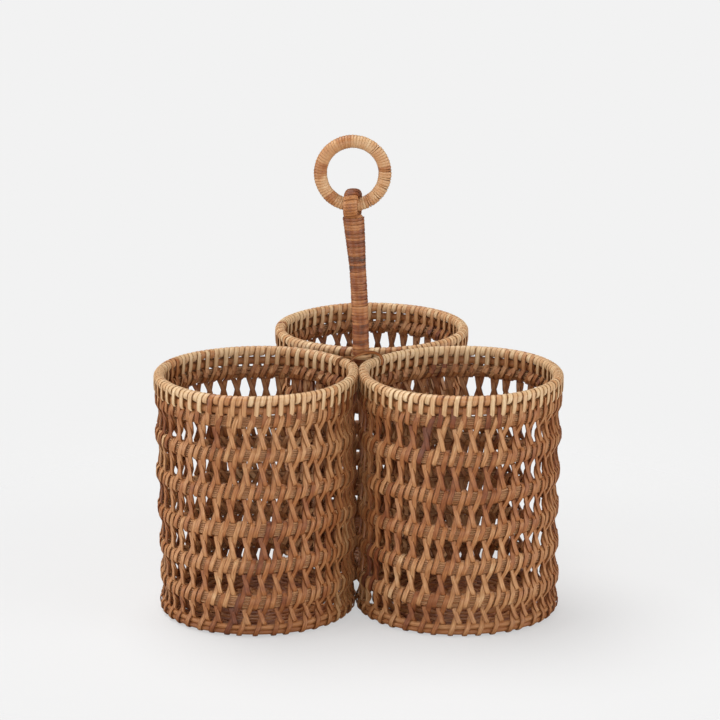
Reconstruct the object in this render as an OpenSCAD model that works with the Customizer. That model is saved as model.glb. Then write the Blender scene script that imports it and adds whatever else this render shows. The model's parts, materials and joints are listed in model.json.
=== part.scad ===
// Three-cup bottle carrier of open-work rattan: three round cups tied together round one
// post, which is bent over a carrying ring at its top.
// Millimetres, +Z up. The origin is on the floor, under the middle of the carrier's outline.
// -Y is the front, with the left and right cups; the back cup stands behind them.

/* [Cups] */
// Outer radius of a cup over its bound rim
cup_r = 60; // [50:1:70]
// Gap between the rims of two cups that are tied together
cup_gap = 0.3; // [0.2:0.1:0.8]
// How far the back cup stands to the right of the middle of the front pair
back_offset = 7.9; // [0:0.1:10]
// How much narrower the wall's radius is at the floor than at the rim
wall_taper = 1.1; // [0:0.1:3]
// How far the hoops stay inside the rim's outer radius
hoop_inset = 0.6; // [0.4:0.1:1.5]

/* [Hoops] */
// Number of splint hoops in a cup, each with one row of lacing under it
hoop_count = 6; // [4:1:6]
// Height of a splint hoop
hoop_h = 9.6; // [8:0.1:11]
// Height of the top splint hoop
top_hoop_h = 6.6; // [5:0.1:9]
// Thickness of a splint hoop, across the wall
hoop_t = 5.8; // [4.8:0.1:7]
// Flat at a hoop's upper and lower edge, where the lacing seats
hoop_flat = 2.8; // [2.6:0.1:3.4]
// Splints in the height of a hoop
splints = 5; // [3:1:6]
// Depth of the groove between two splints
splint_groove = 0.35; // [0.1:0.05:0.5]
// Height of the foot hoop
foot_h = 7.1; // [6:0.1:9]

/* [Lacing] */
// Height of a row of crossed strips
lace_h = 11.8; // [9:0.1:14]
// Thickness of a row, two strips one over the other
lace_t = 1.6; // [1.2:0.1:2]
// Crossings in a row
lace_count = 42; // [30:1:48]
// Part of the pitch that a window is wide at its middle
window_middle = 0.62; // [0.5:0.01:0.66]
// Part of the pitch that a window is wide at its ends
window_end = 0.3; // [0.2:0.01:0.4]
// Strip left above and below a window
lace_edge = 0.6; // [0.5:0.1:1]

/* [Rim] */
// Diameter of the rim over its binding
rim_d = 6.4; // [5.4:0.1:7.4]
// Diameter of the rim's core
rim_core_d = 4.4; // [3:0.1:4.8]
// Height of the thin hoop under the rim
rim_hoop_h = 4.6; // [3.5:0.1:6]
// Thickness of the thin hoop under the rim
rim_hoop_t = 3.2; // [2:0.1:3.6]
// Thickness of a binding strip
strip_t = 0.8; // [0.6:0.1:0.9]
// Width of a binding strip on the rim
strip_w = 3; // [2:0.1:3.2]
// Long binding strips round a rim, with a short one after each
rim_strips = 54; // [40:1:60]

/* [Floor of a cup] */
// Bars that cross at the middle of a cup's floor
floor_bars = 8; // [5:1:10]
// Width of a floor bar
bar_w = 3.2; // [2:0.1:4]
// Thickness of a floor bar
bar_t = 2; // [1.5:0.1:2.4]
// Height of the floor bars above the ground
bar_z = 2.2; // [1.5:0.1:2.4]
// Woven rings on the floor bars
floor_rings = 4; // [3:1:5]
// Width of a woven ring
floor_ring_w = 5; // [3:0.1:6]
// Thickness of a woven ring
floor_ring_t = 2.2; // [1.5:0.1:2.4]

/* [Post] */
// Place of the post where it passes the rims, to the right of the middle
post_x = 1.4; // [-1:0.1:3]
// Place of the post there, behind the point that is equally far from the three cups
post_y = 1.2; // [-0.6:0.1:3.4]
// Lean of the post to the left
post_lean = 3.1; // [0:0.1:4]
// Diameter of the post's core
post_d = 8.2; // [7:0.1:9]
// Diameter of the post's core at its neck, under the ring
neck_d = 11.2; // [10.4:0.1:12]
// Length of the flare under the neck
flare_l = 30; // [15:1:45]
// Height over which the neck's upper edge is eased
neck_ease = 1; // [0.5:0.1:1.2]
// How far the neck covers the loop's ends
neck_cover = 0.3; // [0.2:0.1:0.6]
// Height of the post's lower end above the ground
post_foot_z = 1.5; // [1:0.1:4]

/* [Loop over the ring] */
// Inner radius of the bent loop
loop_r = 6.1; // [6:0.1:7]
// Width of the bent strap, along the ring
loop_w = 7.8; // [6:0.1:8.4]
// Thickness of the bent strap
loop_t = 2.8; // [2.2:0.1:3]
// How far past level the loop closes under the ring, into the neck
loop_closing = 65; // [60:1:70]
// Angle of the bent loop over which it is bound
loop_bound = 150; // [120:1:170]

/* [Carrying ring] */
// Outer diameter of the ring over its binding
ring_d = 46; // [40:1:54]
// Diameter of the ring's tube over its binding
ring_tube_d = 8; // [7:0.1:8.4]
// Diameter of the ring's core
ring_core_d = 6; // [5:0.1:6.4]
// Height of the ring's lowest tube centre above the ground
ring_z = 235.2; // [233:0.1:238]

/* [Bindings] */
// Loops in the binding of the ring, and in that of the post
binding_loops = 24; // [12:1:24]
// Loops in the binding of the bent loop
loop_loops = 5; // [3:1:6]
// Gap between two loops of a binding, along its core
binding_gap = 0.7; // [0.6:0.05:1]

/* [Ties] */
// Width of a strip that ties a cup to the post
tie_w = 4; // [3:0.1:6]
// Height of the collar that holds the ties on the post
collar_h = 4.6; // [3:0.1:6]
// Wall of that collar
collar_t = 1.3; // [1:0.1:1.6]

/* [Fit] */
// Clearance of a strip or collar on what it is bound round
fit = 0.1; // [0.05:0.05:0.15]
// Clearance of the floor inside the foot hoop
seat = 0.25; // [0.1:0.05:0.3]

/* [Hidden] */
SIDES = ["left", "right", "back"];
$fn = 96;
COIL_STEPS = 14;  // stations in one loop of the ring's binding
POST_STEPS = 12;  // and in one of the post's
STRAP_STEPS = 10; // and in one of the bent loop's, half of them round each edge
CUT = 1;          // how far a cutter passes beyond what it cuts
FOOT_SIDE = [0.3, 0.65]; // where the foot hoop is widest, as parts of its height
// Section of a binding strip: parts of its width, and of its thickness out from the core
SECTION = [[-1/2, .3], [-1/3, 0], [1/3, 0], [1/2, .3], [1/4, 1], [-1/4, 1]];

CANE = "#c69a6b";
STRIP = "#d0a679";
SPLINT = "#b88a5c";
DARK = "#a87a50";

// Heights, from the ground up
hoop_pitch = hoop_h + lace_h;
function hoop_z(k) = foot_h + lace_h + (hoop_count - k) * hoop_pitch;
function height_of(k) = k == 1 ? top_hoop_h : hoop_h;
rim_hoop_z = hoop_z(1) + top_hoop_h + strip_t + 2 * fit;
rim_r = rim_d / 2;
rim_z = rim_hoop_z + rim_hoop_h + 3 * fit + rim_r;
rim_top = rim_z + rim_r;

// Radii, from a cup's axis
rim_line_r = cup_r - rim_r;
function wall_r(z) = cup_r - hoop_inset - hoop_t / 2 - wall_taper * (1 - z / rim_z);
foot_line_r = wall_r(foot_h / 2);
foot_inner_r = foot_line_r - hoop_t / 2;

// Places of the cups
spacing = 2 * cup_r + cup_gap;
cups_depth = sqrt(pow(spacing, 2) - pow(spacing / 2 - back_offset, 2));
CUP = [
    [-spacing / 2, -cups_depth / 2, 0],
    [spacing / 2, -cups_depth / 2, 0],
    [back_offset, cups_depth / 2, 0]
];

// Where the point that is equally far from the three cups lies, from front to back
gap_y = (pow(back_offset, 2) - pow(spacing / 2, 2)) / (2 * cups_depth);

// The post's axis, and the bent loop at its top
post_r = post_d / 2;
neck_r = neck_d / 2;
function post_at(z) = [post_x + (rim_top - z) * tan(post_lean), gap_y + post_y, z];
ring_line_r = ring_d / 2 - ring_tube_d / 2;
hinge = post_at(ring_z);
ring_centre = hinge + [0, 0, ring_line_r];
loop_line_r = loop_r + loop_t / 2;
loop_outer_r = loop_r + loop_t;
neck_top = ring_z - loop_r * sin(loop_closing) + neck_cover;
flare_z = neck_top - neck_ease - flare_l;
// The binding ends where the bent strap comes out of the neck
bound_top = ring_z - sqrt(pow(loop_outer_r, 2) - pow(neck_r, 2) + pow(loop_w / 2, 2));
tie_top = rim_top + strip_t + fit;

// ---- cups ----

// Half the thickness of a hoop at the height q, from 0 to 1, of its section
function bulge(q) = hoop_t / 2 - (hoop_t - hoop_flat) / 2 * pow(abs(2 * q - 1), 3);

// A bundle of splints, rounded, with a groove between two splints on its outer face
module splint_section(h) {
    outer = [for (j = [0 : splints - 1]) for (q = [0.1, 0.5, 0.9])
        let (at = (j + q) / splints)
        [bulge(at) - (q == 0.5 ? 0 : splint_groove), at * h]];
    inner = [for (q = [0.85, 0.6, 0.4, 0.15]) [-bulge(q), q * h]];
    polygon(concat(
        [[-hoop_flat / 2, 0], [hoop_flat / 2, 0]], outer,
        [[hoop_flat / 2, h], [-hoop_flat / 2, h]], inner
    ));
}

module splint_hoop(k) {
    h = height_of(k);
    color(SPLINT) translate([0, 0, hoop_z(k)])
        rotate_extrude() translate([wall_r(hoop_z(k) + h / 2), 0]) splint_section(h);
}

// The foot: one stout round cane, flat where it stands
module foot_hoop() {
    color(DARK) rotate_extrude() translate([foot_line_r, 0]) polygon([
        [-hoop_t / 2 + 1, 0], [hoop_t / 2 - 1, 0],
        [hoop_t / 2, foot_h * FOOT_SIDE[0]], [hoop_t / 2, foot_h * FOOT_SIDE[1]],
        [hoop_flat / 2, foot_h], [-hoop_flat / 2, foot_h],
        [-hoop_t / 2, foot_h * FOOT_SIDE[1]], [-hoop_t / 2, foot_h * FOOT_SIDE[0]]
    ]);
}

// One window between two crossings
module window(pitch) {
    middle = pitch * window_middle / 2;
    end = pitch * window_end / 2;
    top = lace_h / 2 - lace_edge;
    polygon([[-end, -top], [end, -top], [middle, 0], [end, top], [-end, top], [-middle, 0]]);
}

// A row of strips crossed in an X, seated between the hoop above it and what is below it
module lacing_row(k) {
    z = hoop_z(k) - lace_h;
    r = wall_r(z + lace_h / 2);
    pitch = 2 * PI * r / lace_count;
    color(STRIP) translate([0, 0, z]) difference() {
        rotate_extrude() translate([r - lace_t / 2, 0]) square([lace_t, lace_h]);
        for (i = [0 : lace_count - 1])
            rotate([0, 0, (i + 0.5) * 360 / lace_count])
                translate([r - lace_t, 0, lace_h / 2]) rotate([90, 0, 90])
                    linear_extrude(2 * lace_t) window(pitch);
    }
}

// ---- rim ----

module rim_core() {
    color(CANE) translate([0, 0, rim_z])
        rotate_extrude() translate([rim_line_r, 0]) circle(d = rim_core_d, $fn = 48);
}

module rim_hoop() {
    color(CANE) rotate_extrude() translate([rim_line_r - rim_hoop_t / 2, rim_hoop_z])
        square([rim_hoop_t, rim_hoop_h]);
}

// A short strip passes round the rim's core alone, a long one round the thin hoop too
module rim_strip_section(long) {
    reach = rim_hoop_t / 2 + fit;
    drop = rim_z - rim_hoop_z + fit;
    difference() {
        union() {
            circle(d = rim_d, $fn = 48);
            if (long) translate([-reach - strip_t, -drop - strip_t])
                square([2 * (reach + strip_t), drop + strip_t]);
        }
        circle(d = rim_core_d + 2 * fit, $fn = 48);
        if (long) translate([-reach, -drop]) square([2 * reach, drop]);
    }
}

module rim_binding() {
    turn = strip_w / cup_r * 180 / PI;
    color(STRIP) translate([0, 0, rim_z]) for (i = [0 : 2 * rim_strips - 1])
        rotate([0, 0, i * 180 / rim_strips]) rotate_extrude(angle = turn)
            translate([rim_line_r, 0]) rim_strip_section(i % 2 == 0);
}

// ---- floor of a cup ----

module cup_floor() {
    bar_l = 2 * (foot_inner_r - seat);
    ring_step = (foot_inner_r - seat - floor_ring_w) / floor_rings;
    color(CANE) translate([0, 0, bar_z]) linear_extrude(bar_t)
        for (i = [0 : floor_bars - 1]) rotate(i * 180 / floor_bars)
            square([bar_l * cos(asin(bar_w / bar_l)), bar_w], center = true);
    color(SPLINT) translate([0, 0, bar_z + bar_t]) {
        cylinder(r = floor_ring_w, h = floor_ring_t);
        for (i = [1 : floor_rings]) rotate_extrude()
            translate([i * ring_step, 0]) square([floor_ring_w, floor_ring_t]);
    }
}

// ---- post, bent at its top into a loop round the ring ----

module strap_section() {
    end = loop_w / 2 - loop_t / 2;
    for (x = [-end, end]) translate([x, 0]) circle(d = loop_t, $fn = 32);
    square([2 * end, loop_t], center = true);
}

module loop_crown() {
    translate(hinge) rotate([90, 0, 90]) rotate([0, 0, -loop_closing])
        rotate_extrude(angle = 180 + 2 * loop_closing)
            translate([loop_line_r, 0]) rotate(90) strap_section();
}

module post_core() {
    straight = (flare_z - post_foot_z) / cos(post_lean);
    flare = flare_l / cos(post_lean);
    color(CANE) union() {
        translate(post_at(post_foot_z)) rotate([0, -post_lean, 0]) {
            cylinder(r = post_r, h = straight);
            translate([0, 0, straight]) cylinder(r1 = post_r, r2 = neck_r, h = flare);
            translate([0, 0, straight + flare])
                cylinder(r1 = neck_r, r2 = neck_r - neck_ease, h = neck_ease);
        }
        loop_crown();
    }
}

// ---- bindings: each is one unbroken flat strip, wound round its core ----

// at(t, a, b) is the place after t loops, a along the core and b out from it
function strip_points(at, loops, steps, w) = [
    for (i = [0 : loops * steps]) [for (p = SECTION) at(i / steps, p[0] * w, p[1] * strip_t)]
];

function least_gap(rings, steps) = min([
    for (i = [0 : len(rings) - steps - 2]) for (m = [steps - 1 : steps + 1])
        for (p = rings[i]) for (q = rings[i + m]) norm(p - q)
]);

module wound_strip(name, at, loops, steps, w) {
    rings = strip_points(at, loops, steps, w);
    sides = len(SECTION);
    last = len(rings) - 1;
    echo(str(name, ": least gap between loops, mm"), least_gap(rings, steps));
    walls = [for (i = [0 : last - 1]) for (j = [0 : sides - 1])
        let (a = i * sides + j, b = i * sides + (j + 1) % sides)
        each [[a, a + sides, b + sides], [a, b + sides, b]]];
    caps = [for (j = [1 : sides - 2])
        each [[0, j, j + 1], [last * sides, last * sides + j + 1, last * sides + j]]];
    polyhedron([for (ring = rings) each ring], concat(walls, caps));
}

// Inner radius of a strip whose flat steps clear a round core
function clear_of(r, steps) = (r + fit) / cos(180 / steps);

module ring_binding() {
    turn = 360 / (binding_loops + 1);
    w = turn * PI / 180 * ring_line_r - binding_gap;
    inner = clear_of(ring_core_d / 2, COIL_STEPS);
    at = function (t, a, b)
        let (s = t * turn + a / ring_line_r * 180 / PI, out = inner + b,
             r = ring_line_r + out * cos(360 * t))
        ring_centre + [r * sin(s), out * sin(360 * t), -r * cos(s)];
    color(STRIP) wound_strip("ring_binding", at, binding_loops, COIL_STEPS, w);
}

// From the rim ties up to the loop
module post_binding() {
    foot_z = tie_top + 2 * fit;
    bound_l = (bound_top - foot_z) / cos(post_lean);
    pitch = (bound_l + binding_gap) / (binding_loops + 1);
    w = pitch - binding_gap;
    flare_from = (flare_z - foot_z) / cos(post_lean);
    core_r = function (z) post_r + (neck_r - post_r)
        * min(1, max(0, (z + pitch - flare_from) / flare_l * cos(post_lean)));
    at = function (t, a, b)
        let (z = w / 2 + t * pitch + a,
             r = clear_of(core_r(z), POST_STEPS) + b)
        [r * cos(360 * t), r * sin(360 * t), z];
    color(STRIP) translate(post_at(foot_z)) rotate([0, -post_lean, 0])
        wound_strip("post_binding", at, binding_loops, POST_STEPS, w);
}

module loop_binding() {
    end = loop_w / 2 - loop_t / 2;
    turn = loop_bound / (loop_loops + 1);
    w = turn * PI / 180 * loop_line_r - binding_gap;
    half = STRAP_STEPS / 2;
    bend = 180 / (half - 1);
    inner = (loop_t / 2 + fit) / cos(bend / 2);
    at = function (t, a, b)
        let (k = round(t * STRAP_STEPS) % STRAP_STEPS,
             side = k < half ? 1 : -1,
             phi = bend * (k % half) - side * 90,
             s = (t - loop_loops / 2) * turn + a / loop_line_r * 180 / PI,
             r = loop_line_r + (inner + b) * sin(phi))
        hinge + [side * end + (inner + b) * cos(phi), r * sin(s), r * cos(s)];
    color(STRIP) wound_strip("loop_binding", at, loop_loops, STRAP_STEPS, w);
}

// ---- ties between the post and the cups ----

module collar(z) {
    translate(post_at(z)) rotate([0, -post_lean, 0]) difference() {
        cylinder(r = post_r + fit + collar_t, h = collar_h);
        translate([0, 0, -CUT]) cylinder(r = post_r + fit, h = collar_h + 2 * CUT);
    }
}

// Turns a section, drawn from the post towards the cup c, into a strip at the height z
module tie(c, z) {
    from = post_at(z);
    way = CUP[c] - from;
    translate([from[0], from[1], 0]) rotate([0, 0, atan2(way[1], way[0])])
        rotate([90, 0, 0]) translate([0, 0, -tie_w / 2]) linear_extrude(tie_w) children();
}

function way_to(c, z) = norm([CUP[c][0] - post_at(z)[0], CUP[c][1] - post_at(z)[1]]);

// Strips from the collar over each cup's rim
module rim_ties() {
    root = post_r + fit + collar_t / 2;
    color(STRIP) union() {
        collar(tie_top - collar_h);
        for (c = [0 : 2]) {
            u = way_to(c, rim_z) - rim_line_r;
            tie(c, rim_z) difference() {
                union() {
                    translate([u, rim_z]) circle(r = rim_r + fit + strip_t, $fn = 48);
                    translate([root, tie_top - 2 * strip_t])
                        square([u - root, 2 * strip_t]);
                }
                translate([u, rim_z]) circle(r = rim_r + fit, $fn = 48);
                translate([u - 2 * rim_d, rim_z - 2 * rim_d])
                    square([4 * rim_d, 2 * rim_d]);
            }
        }
    }
}

// Strips from a collar above the foot hoops down to the widest part of each
module foot_ties() {
    root = post_r + fit + collar_t / 2;
    foot_outer_r = foot_line_r + hoop_t / 2;
    z = foot_h + fit;
    low = foot_h * FOOT_SIDE[0];
    high = foot_h * FOOT_SIDE[1];
    color(STRIP) union() {
        collar(z);
        for (c = [0 : 2]) tie(c, z) {
            reach = way_to(c, z) - foot_outer_r - 2 * fit;
            polygon([[root, z], [reach, low], [reach, high], [root, z + collar_h / 2]]);
        }
    }
}

// ---- carrying ring ----

module ring_core() {
    color(CANE) translate(ring_centre) rotate([90, 0, 0])
        rotate_extrude() translate([ring_line_r, 0]) circle(d = ring_core_d, $fn = 48);
}

for (c = [0 : 2]) translate(CUP[c]) {
    side = SIDES[c];
    rim_core();
    rim_binding();
    rim_hoop();
    for (k = [1 : hoop_count]) {
        splint_hoop(k);
        lacing_row(k);
    }
    foot_hoop();
    cup_floor();
}
post_core();
post_binding();
loop_binding();
rim_ties();
foot_ties();
ring_core();
ring_binding();
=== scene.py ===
"""Dresses the three-cup bottle carrier in rattan: hoops, lacing and windings, each as it is woven."""

import json
import math
import random
from collections import namedtuple

import bpy
import numpy as np
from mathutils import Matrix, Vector

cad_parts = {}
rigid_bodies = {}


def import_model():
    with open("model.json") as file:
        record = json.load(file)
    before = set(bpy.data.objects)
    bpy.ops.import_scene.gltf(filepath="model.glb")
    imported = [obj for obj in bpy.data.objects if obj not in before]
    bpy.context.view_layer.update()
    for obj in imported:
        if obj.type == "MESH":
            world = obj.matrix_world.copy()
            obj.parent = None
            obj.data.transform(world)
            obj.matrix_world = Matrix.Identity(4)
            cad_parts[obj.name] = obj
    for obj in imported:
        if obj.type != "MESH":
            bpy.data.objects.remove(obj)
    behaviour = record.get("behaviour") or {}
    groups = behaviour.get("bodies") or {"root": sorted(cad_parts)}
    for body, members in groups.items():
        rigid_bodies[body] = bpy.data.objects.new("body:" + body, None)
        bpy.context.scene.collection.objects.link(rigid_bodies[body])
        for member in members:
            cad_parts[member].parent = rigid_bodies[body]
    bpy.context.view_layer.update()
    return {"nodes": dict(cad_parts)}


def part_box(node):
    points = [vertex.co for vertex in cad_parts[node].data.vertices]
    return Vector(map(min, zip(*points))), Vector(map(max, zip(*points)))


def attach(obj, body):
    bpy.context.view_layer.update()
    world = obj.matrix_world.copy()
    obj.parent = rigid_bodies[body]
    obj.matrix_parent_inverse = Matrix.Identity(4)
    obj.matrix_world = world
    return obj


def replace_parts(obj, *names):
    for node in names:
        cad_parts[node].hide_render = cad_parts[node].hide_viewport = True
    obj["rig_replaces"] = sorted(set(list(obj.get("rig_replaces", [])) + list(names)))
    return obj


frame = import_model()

bl_info = {
    "name": "Rattan bottle carrier",
    "version": (1, 0, 0),
    "blender": (4, 5, 0),
    "location": "View3D > Sidebar > Carrier",
    "description": "Weaves the cups, post and ring of a rattan bottle carrier round its packed frame",
    "category": "Add Mesh",
}

MM = 0.001
SIDES = ("left", "right", "back")
ROWS = 6
# How far a strip lies off what it is laid on
CLEAR = 0.05 * MM

# Thicknesses of strip that don't change with the lacing's, in millimetres: the fine strip round the
# post and ring, the strip round the bent loop, and the ties
FINE_STRIP = 0.75
LOOP_STRIP = 0.6
TIE_STRIP = 0.6
TIE_WIDTH = 2.0
# A splint is this share of its room in half its height, so that it presses into the next
SPLINT_PRESS = 0.62
# How far a turn may lie off the last one, and how far the post bows to the right, in millimetres
TURN_LIFT = 0.13
POST_BOW = 0.9

# A strip's tone of cane, from 0, pale, to 1, stained: the spans that a weaver picks from
PALE = (0.05, 0.25)
PLAIN = (0.26, 0.62)
STAINED = (0.72, 0.88)

# The grain of the peel: fibres across a strip, how they change for each millimetre along it, and
# patches of stain to the metre. Each tone has its own fibres, this far apart in the noise
FIBRES_ACROSS = 6.0
FIBRE_RUN = 0.12
PATCHES = 140.0
OWN_FIBRES = 97.0

# A band is what the lacing passes over: a hoop, from its low to its high edge, at the wall's radius
Band = namedtuple("Band", "low high radius")

# How a hand-made cup differs from a true one, in millimetres and degrees: how far its hoops rise at
# its front; how far its wall leans at half height and at its foot, and which way; where its rim is
# drawn towards the other front cup's rim, and how far
Habit = namedtuple("Habit", "rise waist foot toward meeting drawn")
HABITS = {
    "left": Habit(rise=1.2, waist=0.0, foot=0.0, toward=0, meeting=21, drawn=2.3),
    "right": Habit(rise=-1.3, waist=1.9, foot=3.7, toward=180, meeting=159, drawn=2.3),
    "back": Habit(rise=0.5, waist=0.0, foot=0.0, toward=-90, meeting=0, drawn=0.0),
}

# The slow waves of a hand-made wall, outwards and upwards. For each: how far in millimetres, how many
# round the cup, how much they differ from cup to cup, and the height over which they turn by a radian
OUT_WAVES = ((0.45, 3, 1, 31), (0.3, 7, -2, 17))
UP_WAVES = ((0.5, 2, 3, 23), (0.35, 5, 1, -29))
WALL_TOP = 142

# Where the fine strip is stained, as (from, to, tone): on the post in millimetres over the rims, on
# the ring in degrees clockwise from its top
POST_STAINS = (
    (15.5, 18.5, 0.78), (50.8, 54.4, 0.88), (56.4, 58.9, 0.84), (65.3, 70.2, 0.84),
)
RING_STAINS = (
    (76, 88, 0.58), (142, 158, 0.45), (212, 228, 0.56), (264, 290, 0.52), (290, 335, 0.34),
    (335, 357, 0.46),
)
# Where the ring's turns have slipped apart, in degrees clockwise from its top, and how much of its
# room such a turn fills
RING_SLIPS = (41, 84, 101, 116, 134, 151)
SLIPPED = 0.42
# The bent loop stands askew: for each millimetre forwards, it is this far to the left
LOOP_SKEW = 0.2

# A woven floor, in millimetres: its flat bars, and the middle that its rings of cane leave free
BAR_WIDTH = 3.2
BAR_THICKNESS = 1.1
HUB = 7

# The lamps: place in metres, spread in degrees and strength
LAMPS = (
    ("key", (-0.35, 0.4, 1.6), 45, 2.5),
    ("fill", (0.1, -1.6, 0.22), 36, 1.4),
    ("left_side", (-1.6, -0.5, 0.3), 50, 1.9),
    ("right_side", (1.6, -0.5, 0.3), 50, 1.7),
)
LAMPS_AIM = (0, 0, 0.1)
WORLD_LIGHT = 0.25
# The paper: its radius, where it starts and ends to fade into the backdrop, and how much of its own
# even tone the camera sees
PAPER_RADIUS = 1.5
PAPER_FADE = (0.18, 0.42)
PAPER_EVEN = 0.55
# The camera: its lens in millimetres, how many degrees it looks down, at what, and from how far
LENS = 150.35
LOOKS_DOWN = 14.9
LOOKS_AT = (0.8, -18.2, 141.2)
STANDS_OFF = 1.7957


def length(name, value, low, high, text):
    """A length, given here in millimetres and kept in metres."""
    return bpy.props.FloatProperty(
        name=name, description=text, default=value * MM, min=low * MM, max=high * MM,
        unit="LENGTH", precision=4,
    )


def amount(name, value, low, high, text):
    """How many of something there are."""
    return bpy.props.IntProperty(name=name, description=text, default=value, min=low, max=high)


def linear(hexes):
    """An sRGB hex colour as the linear numbers that the shaders take."""
    channels = [int(hexes[i:i + 2], 16) / 255 for i in (1, 3, 5)]
    return [c / 12.92 if c <= 0.04045 else ((c + 0.055) / 1.055) ** 2.4 for c in channels]


def colour(name, hexes):
    """A colour that a user picks."""
    return bpy.props.FloatVectorProperty(
        name=name, subtype="COLOR", size=3, min=0, max=1, default=linear(hexes),
        description=f"Colour of the {name.lower()}",
    )


class WeaveSizes(bpy.types.PropertyGroup):
    """What the weaver chooses: strips, splints and turns."""

    strip_width: length("Lacing strip", 2.9, 1.5, 3.6, "Width of a lacing strip")
    strip_thickness: length("Strip thickness", 0.7, 0.4, 0.9, "Thickness of a flat strip")
    long_wrap_width: length("Long rim wrap", 2.9, 2, 3.2, "Width of a wrap that holds the thin hoop too")
    short_wrap_width: length("Short rim wrap", 3.2, 2, 3.4, "Width of a wrap round the rim's core alone")
    thin_hoop: length("Thin hoop", 3.2, 2, 3.6, "Thickness of the hoop under the rim")
    hoop_depth: length("Hoop depth", 6.4, 4.8, 7, "Depth of a laced hoop across the wall")
    hoop_height: length("Hoop height", 7.2, 6, 9, "Height to which the lacing draws a hoop's splints")
    hoop_sag: length("Hoop sag", 1.9, 0, 2.5, "How far the lacing pulls the middle hoops down")
    post_width: length("Post", 8.2, 7, 9, "Diameter of the post's cane")
    neck_width: length("Neck", 11.2, 10.4, 12, "Diameter of the post's cane under the loop")
    flare: length("Flare", 30, 15, 45, "Length over which the post widens to its neck")
    strap_width: length("Loop width", 7.0, 6, 8.4, "Width of the bent cane, along the ring")
    strap_thickness: length("Loop thickness", 2.8, 2.2, 3, "Thickness of the bent cane")
    stitches: amount("Stitches", 40, 30, 46, "Crossings in a row of lacing")
    rim_wraps: amount("Rim wraps", 54, 40, 60, "Long wraps round a cup's rim")
    splints: amount("Splints", 6, 3, 7, "Splints in the height of a hoop")
    post_turns: amount("Post turns", 60, 24, 70, "Turns of strip round the post")
    loop_turns: amount("Loop turns", 19, 12, 24, "Turns of strip round the bent loop")
    ring_turns: amount("Ring turns", 76, 40, 90, "Turns of strip round the ring")
    floor_bars: amount("Floor bars", 8, 5, 10, "Bars that cross in a cup's floor")
    floor_weavers: amount("Floor weavers", 16, 8, 20, "Rings of cane woven over and under the bars")


class CaneColours(bpy.types.PropertyGroup):
    """The shades of peeled rattan, from the palest strip to the stained ones."""

    straw: colour("Straw strips", "#ecd1ab")
    honey: colour("Honey strips", "#d4a477")
    tan: colour("Tan strips", "#b77c4e")
    russet: colour("Russet strips", "#8a4e2c")
    plum: colour("Plum strips", "#7f5546")
    pith: colour("Splint pith", "#cda27e")
    # The stain's colour also darkens the ring's core: dirt, and painted shade between its turns
    stain: colour("Stained wraps", "#4b382c")
    backdrop: colour("Backdrop", "#f2f2f2")


# ---- shaping ----


def select_only(*pieces):
    """Selects these pieces alone, the first of them active. With no piece, nothing is selected."""
    bpy.ops.object.select_all(action="DESELECT")
    for piece in pieces:
        piece.select_set(True)
    if pieces:
        bpy.context.view_layer.objects.active = pieces[0]


def join(pieces):
    """Joins pieces into the first of them."""
    select_only(*pieces)
    bpy.ops.object.join()
    return bpy.context.object


def apply_all(piece):
    """Applies the piece's modifiers, in their order."""
    select_only(piece)
    for modifier in list(piece.modifiers):
        bpy.ops.object.modifier_apply(modifier=modifier.name)


def points_of(piece):
    """The mesh's points as an array."""
    points = np.zeros(len(piece.data.vertices) * 3)
    piece.data.vertices.foreach_get("co", points)
    return points.reshape(-1, 3)


def move_points(piece, points):
    """Moves the mesh's points to the places in an array."""
    piece.data.vertices.foreach_set("co", np.asarray(points).ravel())
    piece.data.update()


def unit(rows):
    """Each row of an array at length 1."""
    return rows / np.linalg.norm(rows, axis=1, keepdims=True)


def write_grain(piece, across, along, tone):
    """Keeps each point's place on its strip: 0 to 1 across it, millimetres along it; and its tone."""
    for name, values in (("across", across), ("along", along), ("tone", tone)):
        layer = piece.data.attributes.new(name, "FLOAT", "POINT")
        values = np.broadcast_to(np.asarray(values, dtype=np.float32), len(piece.data.vertices))
        layer.data.foreach_set("value", np.ascontiguousarray(values))


def write_tones(piece, picked):
    """Gives each copy in a piece its own tone of cane."""
    each = len(piece.data.vertices) // len(picked)
    layer = piece.data.attributes["tone"]
    layer.data.foreach_set("value", np.repeat(np.asarray(picked, dtype=np.float32), each))


def tones(count, dice, pale=0.0, stained=0.04):
    """Tones for a row of turns: a strip keeps its tone for the few turns that it lasts."""
    picked = []
    while len(picked) < count:
        roll = dice.random()
        if roll < pale:
            own = dice.uniform(*PALE)
        elif roll > 1 - stained:
            own = dice.uniform(*STAINED)
        else:
            own = dice.uniform(*PLAIN)
        # A stained length is soon used up
        for _ in range(dice.randint(1, 2 if own > 0.7 else 7)):
            picked.append(min(1, max(0, own + dice.uniform(-0.12, 0.12))))
    return picked[:count]


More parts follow.
